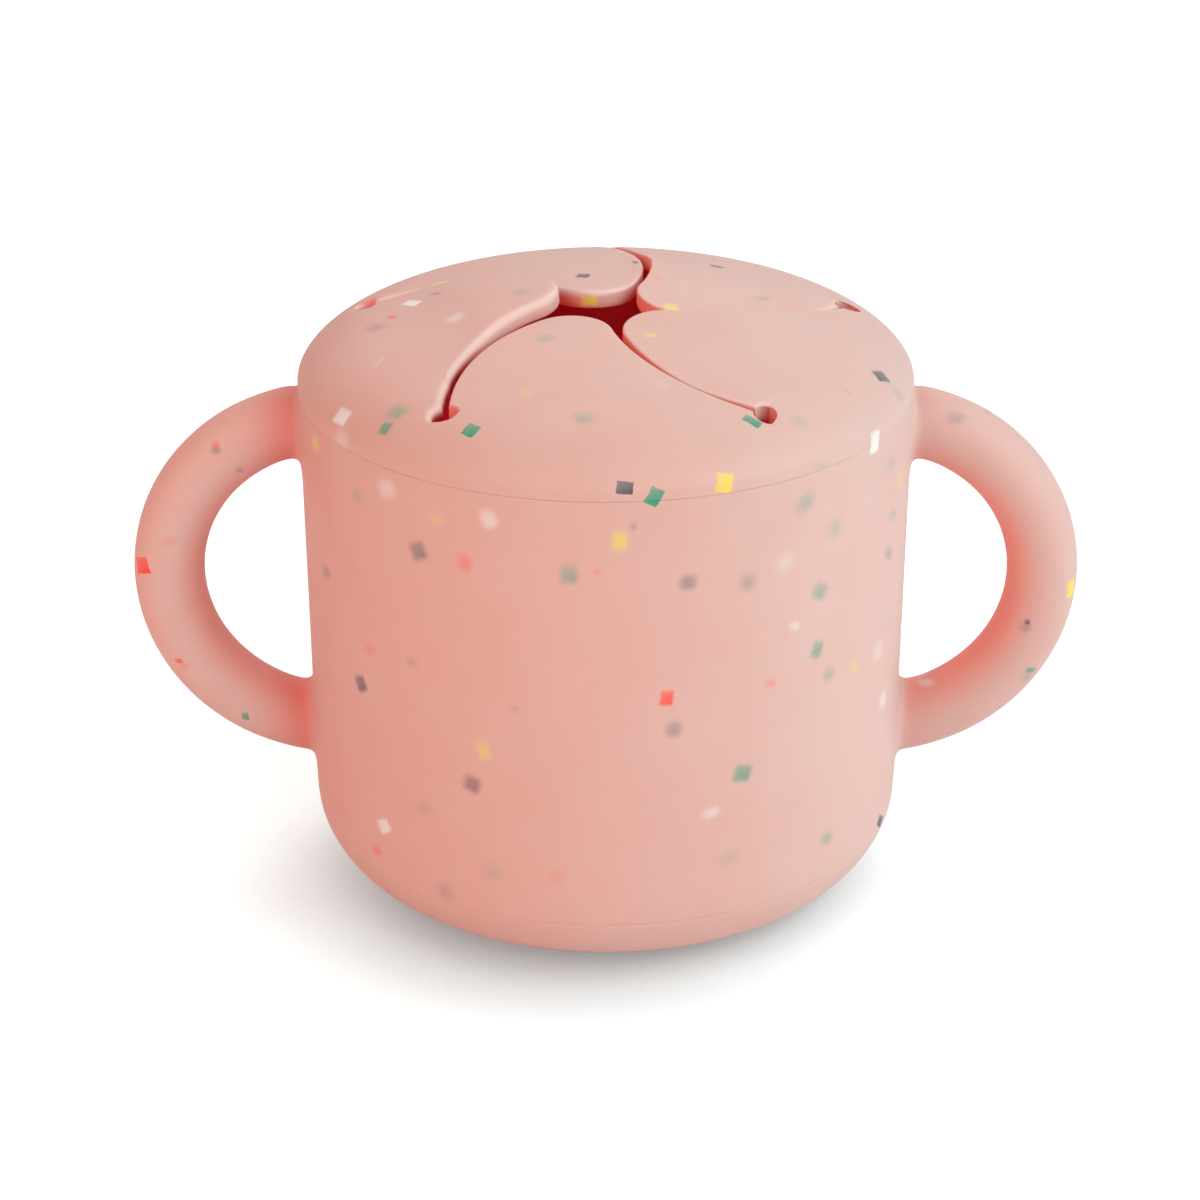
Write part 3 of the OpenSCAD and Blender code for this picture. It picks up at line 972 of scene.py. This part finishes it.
HANDLE_CHIPS = [
    (-55.8, -4.1, 66.3, 1.1, 0.9, 9, "coral", 0.5), (-55.8, -4.4, 65.7, 1.4, 1.1, 8, "slate", 0.45),
    (-52.5, -4.8, 62.6, 1, 0.9, -5, "slate", 0.35), (-67.3, -3.3, 47.1, 2.9, 2.5, 19, "coral", 1),
    (-62.8, -4.7, 32.3, 1.3, 0.8, 2, "coral", 0.75), (-62.1, -4.8, 31.5, 1.6, 1.4, 9, "coral", 0.25),
    (-53.4, -5.1, 23.2, 1.1, 1.3, 3, "teal", 0.8), (-63.2, -5.1, 51.7, 2.1, 1.2, 5, "coral", 0.15),
    (49.9, -3.6, 70.3, 2.5, 1.7, -9, "slate", 0.3), (54.9, 1, 69.2, 2.9, 1.3, 74, "slate", 0.35),
    (61.6, -5, 38.7, 0.7, 0.8, 6, "navy", 0.7), (61.3, -5, 37.9, 1.5, 1.4, 8, "slate", 0.35),
    (62.6, -4.3, 30.6, 1.6, 0.8, -16, "teal", 0.7), (62.3, -4.2, 29.5, 2, 2.7, 23, "teal", 0.3),
    (67.9, -3.1, 43.3, 1.9, 2.9, 5, "butter", 0.95), (47.7, -1.2, 26.6, 2.5, 1.3, -29, "white", 0.5),
]
RING_CHIPS = [
    (-34.5, 13.7, 81.7, 2.4, 2.7, 33, "coral", 0.55), (-32.7, -0.1, 82.9, 2.7, 2.5, -28, "slate", 0.25),
    (-18.1, -34.1, 81.1, 2, 2.2, -40, "teal", 1), (-28.4, -27, 80.8, 2.5, 2.7, 49, "teal", 0.45),
    (-29.9, -29, 79.3, 1.6, 2, 6, "teal", 0.75), (-36.2, -22.6, 78.4, 2.9, 2.4, 5, "white", 0.8),
    (-36.2, -25, 76.1, 2.9, 2.1, 8, "white", 0.3), (-3, -33.6, 82.6, 2.5, 2.3, -15, "teal", 0.35),
    (-31.5, -12.9, 82.6, 0.8, 2.3, -23, "white", 0.18), (38.4, -12.2, 80.2, 2.3, 2.3, -54, "slate", 0.85),
    (40.7, -13.7, 78.1, 2.3, 1.6, 67, "teal", 0.22), (19.7, -32, 81.5, 2.6, 1.4, -31, "teal", 0.95),
    (36.9, -23.9, 75.1, 2.3, 3.1, -4, "white", 0.9), (26.1, -29.7, 80.6, 2.1, 1.9, 17, "teal", 0.15),
    (2.5, -43.7, 76.8, 2.2, 1.7, -6, "slate", 1), (6.4, -43.5, 75.4, 1.9, 2.5, -28, "teal", 0.95),
    (15.8, -41, 76.3, 2.3, 2.7, -13, "butter", 0.95), (33.3, -20, 80.9, 0.7, 0.6, 29, "coral", 0.25),
    (29, -33.1, 75.4, 2.4, 1.1, -16, "teal", 0.12),
]
FLAP_CHIPS = [
    (-8.4, -11.7, 85.7, 2.2, 2, -6, "teal", 0.28), (-10.8, -26.8, 83.6, 1.6, 2.7, -6, "butter", 0.12),
    (7.6, -25.3, 84.1, 1.4, 1, 4, "white", 0.12), (6.2, -10.3, 85.9, 1.7, 1.3, 5, "butter", 0.55),
    (16.4, 22.8, 83.8, 1.8, 2.7, 5, "slate", 0.75), (9.4, 0.3, 86, 1.9, 2.7, 9, "butter", 0.75),
    (22.7, 9.3, 84.4, 2.3, 1.3, 27, "teal", 0.3), (7.4, 10.9, 85.8, 0.9, 2.6, 12, "coral", 0.25),
    (-24.7, 16, 83.5, 2.6, 2.7, -12, "butter", 0.7), (-3.3, 13.6, 85.1, 1.9, 2, -16, "navy", 0.85),
    (4.3, 22.1, 84.2, 0.8, 1.9, 11, "slate", 0.8), (-2.4, 5.1, 84.8, 2.3, 1.4, 3, "butter", 0.9),
    (-27.9, 7.1, 83.8, 2.9, 1.8, -43, "white", 0.9), (-24.5, 8.3, 84.7, 1.8, 1, -39, "slate", 0.35),
    (-30.6, 2.8, 83.3, 1.6, 1.4, -30, "coral", 0.6), (-21.3, -2.9, 85.3, 2.1, 2.4, -32, "white", 0.45),
    (-12.1, 1.7, 87.3, 2.3, 2.7, -21, "teal", 0.22),
]
print("chips:", [len(rows) for rows in (WALL_CHIPS, HANDLE_CHIPS, RING_CHIPS, FLAP_CHIPS)])

# %% [markdown]
# A chip lies flat in the skin, so the skin's own nearest point says which
# way it faces. That is read a little off the seam, where cup and lid both
# face outwards, so that a chip on the seam stands upright in both.

# %% Lay chips into a material
OFF_SEAM = 0.6  # how far from the seam, in millimetres, a skin's facing is read
CHIP_THICK = 2.4


def chip_turn(out, turn):
    """Rotation that lays a chip flat on a skin facing out, turned by some degrees."""
    level = Vector((1, 0, 0)) - out * out.x if abs(out.z) > 0.8 else Vector((-out.y, out.x, 0))
    level.normalize()
    a = radians(turn)
    across = level * cos(a) + out.cross(level) * sin(a)
    return Matrix((across, out.cross(across), out)).transposed().to_euler()


def lay_chips(tree, place, colour, rows, piece):
    """Adds a chip per row over a colour. Returns the new colour, and how thin the silicone is there."""
    thin = None
    for x, y, z, width, height, turn, tone, near in rows:
        beside = {cup: min(z, RIM_Z - OFF_SEAM), lid: max(z, RIM_Z + OFF_SEAM)}.get(piece, z)
        spot, out = piece.closest_point_on_mesh(Vector((x, y, beside)) * MM)[1:3]
        spot.z += (z - beside) * MM
        blur = min(1.0, 0.08 + 1.25 * (1 - near))
        chip = node(tree, "Group", {"node_tree": CHIP}, {"Place": place, "Silicone": colour})
        given = {"Chip": linear(TONES[tone]), "Where": spot / MM, "Turn": chip_turn(out, turn),
                 "Half": (width / 2, height / 2, CHIP_THICK / 2), "Core": 1 - blur,
                 "Blur": 2 * blur, "Show": min(1.0, 0.1 + near), "Thin": 1.0}
        for key, value in given.items():
            chip.inputs[key].default_value = value
        if thin:
            tree.links.new(thin, chip.inputs["Thin"])
        colour, thin = chip.outputs
    return colour, thin


# %% [markdown]
# ## Pink silicone
# The base is matt food-grade silicone: IOR about 1.41, a roughness around
# 0.55 from the blasted mould, with a fine grain of about 0.15 mm. Part of the
# light goes through and comes back redder, which a share of Translucent over
# the Principled shader gives. Subsurface scattering would be the other way,
# but it stops at each skin's end and would draw a dark line along the flaps'
# folds, where the real lid is one piece.

# %% The pink, its painted side light and its painted glow
# repeats in a millimetre: clouding some 12 mm across, a chip's torn edge 0.9, the mould's grain 0.15,
# patches of gloss 4, and the cells of unseen chips 9
CLOUD, TORN, GRAIN, PATCH, CELL = 0.08, 1.1, 6.5, 0.25, 0.11


def clouding_and_painted_side_light(tree, place):
    """Pigment clouding over a painted side light across the whole piece: redder where a point faces or lies
    left, paler where it faces right.
    """
    cloud = node(tree, "TexNoise", {"Scale": CLOUD, "Detail": 3.0, "Roughness": 0.6}, {"Vector": place})
    clouded = node(tree, "MapRange", {"From Min": 0.35, "From Max": 0.65}, {"Value": cloud.outputs["Fac"]})
    side = node(tree, "Attribute", {"attribute_name": "side"})
    # painted side light, with a little of the clouding mixed in
    painted_side_share = node(tree, "Mix", {"data_type": "FLOAT", "Factor": 0.15}, {2: side.outputs["Fac"], 3: clouded})
    pink = node(tree, "Mix", {"data_type": "RGBA", 6: linear(SHADED_AND_LIT_PINK[0]), 7: linear(SHADED_AND_LIT_PINK[1])}, {"Factor": painted_side_share})
    return pink.outputs[2]


def with_painted_light(tree, colour, on_cup):
    """Adds the painted glow, a painted shade in a darker red and, where the window lights an edge, a painted
    highlight in a paler pink.
    """
    glow = node(tree, "Attribute", {"attribute_name": "glow"}).outputs["Fac"]
    deep = node(tree, "Attribute", {"attribute_name": "deep"}).outputs["Fac"]
    painted_highlight_share = node(tree, "Math", {"operation": "MULTIPLY", 1: -1.0}, {0: glow})
    painted_glow_colour, painted_shade_colour = (PAINTED_HANDLE_GLOW, PAINTED_ROOT_SHADE) if on_cup else (PAINTED_SLIT_GLOW, PAINTED_SLIT_SHADE)
    for hexa, share in ((painted_glow_colour, glow), (painted_shade_colour, deep), (PAINTED_EDGE_HIGHLIGHT, painted_highlight_share)):
        mix = node(tree, "Mix", {"data_type": "RGBA", 7: linear(hexa)}, {"Factor": share, 6: colour})
        colour = mix.outputs[2]
    return colour


# %% [markdown]
# Shut in under the lid, the pink gets a painted crimson shade and a painted
# crimson glow, as all the light there has come through a wall; with the lid
# off it shows as it is. How much open sky a point sees tells the two apart.
# Chips inside are scattered, and the far side of the cup repeats the near
# side's chips.

# %% The inside and the far side
def painted_shut_in_shade(tree, colour):
    """The inside's colour, with a painted crimson shade where it is shut in, and how far a point is shut in,
    0 to 1.
    """
    sky = node(tree, "AmbientOcclusion", {"Distance": 0.12, "samples": 16})
    shut = node(tree, "MapRange", {"From Min": 0.03, "From Max": 0.16, "To Min": 1.0, "To Max": 0.0},
                {"Value": sky.outputs["AO"]})
    inner_painted_shade = node(tree, "Mix", {"data_type": "RGBA", "blend_type": "MULTIPLY", 7: linear(PAINTED_INNER_SHADE)},
                {"Factor": shut, 6: colour})
    return inner_painted_shade.outputs[2], shut


def scattered_chips(tree, place, colour):
    """Square chips, one in each cell, in a colour picked by the cell."""
    cells = node(tree, "TexVoronoi", {"distance": "CHEBYCHEV", "Scale": CELL}, {"Vector": place})
    near = node(tree, "MapRange", {"interpolation_type": "SMOOTHSTEP", "From Min": 0.14, "From Max": 0.09,
                                   "To Max": 0.6}, {"Value": cells.outputs["Distance"]})
    pick = node(tree, "SeparateColor", (), {0: cells.outputs["Color"]})
    tones = node(tree, "ValToRGB", (), {0: pick})
    steps = tones.color_ramp
    steps.interpolation = "CONSTANT"
    for i, tone in enumerate(("teal", "butter", "slate", "white", "coral")):
        step = steps.elements[i] if i < 2 else steps.elements.new(i / 5)
        step.position = i / 5
        step.color = linear(TONES[tone])
    mix = node(tree, "Mix", {"data_type": "RGBA"}, {"Factor": near, 6: colour, 7: tones})
    return mix.outputs[2]


def painted_shade_right_handle(tree, place, colour):
    """Painted shade that makes the right handle a shade darker."""
    along = node(tree, "SeparateXYZ", (), {0: place})
    right = node(tree, "MapRange", {"From Min": 44.0, "From Max": 52.0}, {"Value": along})
    mix = node(tree, "Mix", {"data_type": "RGBA", "blend_type": "MULTIPLY", 7: PAINTED_RIGHT_HANDLE_SHADE},
               {"Factor": right, 6: colour})
    return mix.outputs[2]


def near_side(tree, place, fold):
    """The place whose chips a place on the far side repeats: turned half round, or mirrored."""
    parts = node(tree, "SeparateXYZ", (), {0: place}).outputs
    behind = node(tree, "Math", {"operation": "SIGN"}, {0: parts[1]})
    flip = node(tree, "Math", {"operation": "MULTIPLY", 1: -1.0}, {0: behind})
    ends = dict(enumerate(parts))
    for i in (0, 1) if fold == "turn" else (1,):
        ends[i] = node(tree, "Math", {"operation": "MULTIPLY"}, {0: parts[i], 1: flip})
    return node(tree, "CombineXYZ", (), ends).outputs[0]


# %% [markdown]
# The colour comes first, pink with its painted side light, painted glow,
# shade and highlight, and chips, then the surface, and last the light that
# comes through, which the chips block.

# %% Silicone material
PASSES = 0.25  # the share of light that goes through plain silicone


def surface(tree, made, place, colour):
    """The silicone's matt surface, with the mould's grain and a little bloom."""
    grain = node(tree, "TexNoise", {"Scale": GRAIN, "Detail": 2.0}, {"Vector": made})
    bump = node(tree, "Bump", {"Strength": 0.12, "Distance": 0.00002}, {"Height": grain.outputs["Fac"]})
    patches = node(tree, "TexNoise", {"Scale": PATCH, "Detail": 4.0}, {"Vector": place})
    rough = node(tree, "MapRange", {"From Min": 0.3, "From Max": 0.7, "To Min": 0.50, "To Max": 0.60},
                 {"Value": patches.outputs["Fac"]})
    return node(tree, "BsdfPrincipled", {"IOR": 1.41, "Specular IOR Level": 0.3, "Sheen Weight": 0.12,
                                         "Sheen Roughness": 0.45},
                {"Base Color": colour, "Roughness": rough, "Normal": bump})


def silicone(name, piece, rows, fold=None, inside=False):
    """Pink silicone with a piece's own chips. fold, on the cup's outside, is turn or mirror."""
    material = bpy.data.materials.new(name)
    material.use_nodes = True
    material.diffuse_color = linear(SHADED_AND_LIT_PINK[0])
    tree = material.node_tree
    tree.nodes.clear()
    made = node(tree, "Attribute", {"attribute_name": "made_place"}).outputs["Vector"]
    colour = clouding_and_painted_side_light(tree, made)
    # painted crimson shade where the inside is shut in
    if inside:
        colour, shut = painted_shut_in_shade(tree, colour)
    # painted shade on the right handle
    if fold == "mirror":
        colour = painted_shade_right_handle(tree, made, colour)
    # painted glow, painted shade and painted highlight over the pink
    colour = with_painted_light(tree, colour, fold)
    # a chip's edge was torn, not cut: a small wobble of its outline
    shake = node(tree, "TexNoise", {"Scale": TORN, "Detail": 1.0}, {"Vector": made})
    centred = node(tree, "VectorMath", {"operation": "SUBTRACT", 1: (0.5, 0.5, 0.5)},
                   {0: shake.outputs["Color"]})
    place = node(tree, "VectorMath", {"operation": "MULTIPLY_ADD", 1: (0.4, 0.4, 0.4)}, {0: centred, 2: made})
    if inside:
        colour = scattered_chips(tree, place, colour)
    colour, thin = lay_chips(tree, near_side(tree, place, fold) if fold else place, colour, rows, piece)
    front = surface(tree, made, place, colour)
    through = node(tree, "BsdfTranslucent", {"Color": linear(THROUGH)})
    body = node(tree, "MixShader", {0: PASSES}, {1: front, 2: through})
    if thin:
        share = node(tree, "Math", {"operation": "MULTIPLY", 1: PASSES}, {0: thin})
        tree.links.new(share.outputs[0], body.inputs[0])
    # painted glow: where the inside is shut in it gives off crimson light
    if inside:
        inner_painted_glow = node(tree, "Mix", {"data_type": "RGBA", 6: BLACK, 7: linear(PAINTED_INNER_GLOW)}, {"Factor": shut})
        tree.links.new(inner_painted_glow.outputs[2], front.inputs["Emission Color"])
        front.inputs["Emission Strength"].default_value = 0.5
    node(tree, "OutputMaterial", (), {"Surface": body})
    print(name, len(tree.nodes), "nodes")
    return material


# %% [markdown]
# The cup has three of these: on the wall, on the handles and inside. Each
# chip on top of the lid goes to the flap that lies nearest.

# %% Put the silicone on
HANDLE_X, FILLET = 45.5, 0.6  # a handle's silicone starts this far out, and this far off the wall


def cup_silicone(face):
    """Which of its silicones a face of the cup has: 0 the wall's, 1 the handles', 2 the inside's."""
    c, n = face.center / MM, face.normal
    r = hypot(c.x, c.y)
    if abs(c.x) > HANDLE_X and r > side_r(c.z) + FILLET:
        return 1
    faces_in = n.x * c.x + n.y * c.y < -0.1 * r
    on_floor = n.z > 0.3 and c.z < 40
    return 2 if r < BORE_R + 0.2 and (faces_in or on_floor) else 0


cup.data.materials.append(silicone("wall_silicone", cup, WALL_CHIPS, fold="turn"))
cup.data.materials.append(silicone("handle_silicone", cup, HANDLE_CHIPS, fold="mirror"))
cup.data.materials.append(silicone("inner_silicone", cup, [], inside=True))
for face in cup.data.polygons:
    face.material_index = cup_silicone(face)
lid.data.materials.append(silicone("lid_silicone", lid, RING_CHIPS))

own_chips = {name: [] for name in flap_skins}
for row in FLAP_CHIPS:
    spot = Vector(row[:3]) * MM
    gaps = {name: (piece.closest_point_on_mesh(spot)[1] - spot).length for name, piece in flap_skins.items()}
    own_chips[min(gaps, key=gaps.get)].append(row)
for name, piece in flap_skins.items():
    piece.data.materials.append(silicone(name + "_silicone", piece, own_chips[name]))
print("chips on the flaps:", {name: len(rows) for name, rows in own_chips.items()})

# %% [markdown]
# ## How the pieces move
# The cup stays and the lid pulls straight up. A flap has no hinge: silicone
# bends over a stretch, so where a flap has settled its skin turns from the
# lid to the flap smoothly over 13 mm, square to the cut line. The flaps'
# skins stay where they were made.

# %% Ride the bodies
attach(cup, "cup")
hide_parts("cup_shell", "handle_left", "handle_right")
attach(lid, "lid")
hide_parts("lid_ring")
bend_end = (HOLE_A[0] + way_in[0] * BEND, HOLE_A[1] + way_in[1] * BEND)
for turn, (name, piece) in zip(FLAP_TURNS, flap_skins.items()):
    start, end = (tuple(Vector((*spun(x, y, turn), FOLD_Z)) * MM) for x, y in (HOLE_A, bend_end))
    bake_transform(piece)
    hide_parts(name)

# %% [markdown]
# ## Studio
# A white table and a white room: an even, slightly warm light from all
# round, soft lamps at both sides and in front, and a weaker one behind. The
# floor shows white to the camera and keeps the cup's cast shadow, with a
# painted shadow added near the cup, while the light that it throws back up
# at the cup is that of plain white paper.

# %% Floor
start_fresh()
bpy.ops.mesh.primitive_plane_add(size=8)
floor = bpy.context.object
floor.name = "floor"
paper = bpy.data.materials.new("white_paper")
paper.use_nodes = True
tree = paper.node_tree
tree.nodes.clear()
# painted shadow: the shadow lies in front and to the left, so the floor is darkened where it sees the cup
# along a line that leans back and right
leaning = node(tree, "CombineXYZ", {0: 0.26, 1: 0.71, 2: 0.65})
open_sky = node(tree, "AmbientOcclusion", {"Distance": 0.03, "samples": 12}, {"Normal": leaning})
painted_shadow_factor = node(tree, "MapRange", {"From Max": 0.72, "To Min": 0.27}, {"Value": open_sky.outputs["AO"]})
seen_parts_with_painted_shadow = []
# the paper that the camera sees, lit and glowing, both darkened by the painted shadow
for kind, colour in (("BsdfDiffuse", (0.49, 0.515, 0.52, 1)), ("Emission", (0.62, 0.63, 0.62, 1))):
    shade = node(tree, "Mix", {"data_type": "RGBA", 6: BLACK, 7: colour}, {"Factor": painted_shadow_factor})
    seen_parts_with_painted_shadow.append(node(tree, kind, (), {"Color": shade.outputs[2]}))
seen_paper_with_painted_shadow = node(tree, "AddShader", (), dict(enumerate(seen_parts_with_painted_shadow)))
plain_paper = node(tree, "BsdfDiffuse", {"Color": linear("#F7F7F6")})
from_camera = node(tree, "LightPath").outputs["Is Camera Ray"]
either = node(tree, "MixShader", (), {0: from_camera, 1: plain_paper, 2: seen_paper_with_painted_shadow})
node(tree, "OutputMaterial", (), {"Surface": either})
floor.data.materials.append(paper)
print("floor", len(tree.nodes), "nodes")

# %% [markdown]
# The room lights the cup dimly from all round, but the camera sees it white.

# %% Room
scene = bpy.context.scene
scene.view_settings.view_transform = "Standard"
world = bpy.data.worlds.new("white_room")
scene.world = world
world.use_nodes = True
tree = world.node_tree
tree.nodes.clear()
room = node(tree, "Background", {"Color": (1.05, 0.98, 0.94, 1), "Strength": 0.34})
backdrop = node(tree, "Background", {"Color": (1, 1, 1, 1), "Strength": 1.0})
from_camera = node(tree, "LightPath").outputs["Is Camera Ray"]
either = node(tree, "MixShader", (), {0: from_camera, 1: room, 2: backdrop})
node(tree, "OutputWorld", (), {"Surface": either})
print("room", len(tree.nodes), "nodes")

# %% [markdown]
# Square soft boxes give a wide, soft falloff over the round wall. The left
# one is warm and the others are cool.

# %% Lamps
LAMP_SIZE, LAMP_DIST = 0.7, 0.95  # metres
AIM_HEIGHT, LAMP_BASE = 0.045, 0.04  # heights that the lamps aim at and that their distance is taken from
COOL, WARM = (0.88, 1.07, 1.10), (1.18, 0.87, 0.81)
# bearing and height in degrees, power, colour
LAMPS = {"right_softbox": (0, 32, 4.6, COOL), "front_softbox": (-45, 35, 4.35, COOL),
         "back_softbox": (90, 40, 3.5, COOL), "left_softbox": (-135, 35, 4.3, WARM)}
for name, (way, height, power, colour) in LAMPS.items():
    light = bpy.data.lights.new(name, "AREA")
    light.shape = "SQUARE"
    light.size = LAMP_SIZE
    light.energy = power
    light.color = colour
    lamp = bpy.data.objects.new(name, light)
    scene.collection.objects.link(lamp)
    a, e = radians(way), radians(height)
    towards = Vector((cos(e) * cos(a), cos(e) * sin(a), sin(e)))
    lamp.location = towards * LAMP_DIST + Vector((0, 0, LAMP_BASE))
    lamp.rotation_euler = (lamp.location - Vector((0, 0, AIM_HEIGHT))).to_track_quat("Z", "Y").to_euler()
    print(name, [round(c, 2) for c in lamp.location])

# %% [markdown]
# ## Camera
# A long lens, some 25 degrees above the table, so that the round cup hardly
# tapers. A small shift frames it as on a product page.

# %% Camera
SENSOR = 36.0
FOCAL_PX, FRAME_PX = 3622.8, 1200.0
PRINCIPAL = (605.8, 612.5)  # where the lens's axis meets the frame
DIST, AIM_Z = 535.0, 37.0  # millimetres
LOOK_DOWN, TILT = 0.4438, -0.0015  # radians
camera = bpy.data.cameras.new("camera")
camera.sensor_width = SENSOR
camera.lens = SENSOR * FOCAL_PX / FRAME_PX
camera.shift_x = -(PRINCIPAL[0] - FRAME_PX / 2) / FRAME_PX
camera.shift_y = (PRINCIPAL[1] - FRAME_PX / 2) / FRAME_PX
camera.clip_start, camera.clip_end = 0.01, 20
eye = bpy.data.objects.new("camera", camera)
scene.collection.objects.link(eye)
eye.location = Vector((0, -DIST * cos(LOOK_DOWN), AIM_Z + DIST * sin(LOOK_DOWN))) * MM
eye.rotation_euler = (pi / 2 - LOOK_DOWN - TILT, 0, 0)
scene.camera = eye
print("lens", round(camera.lens, 1), "mm")
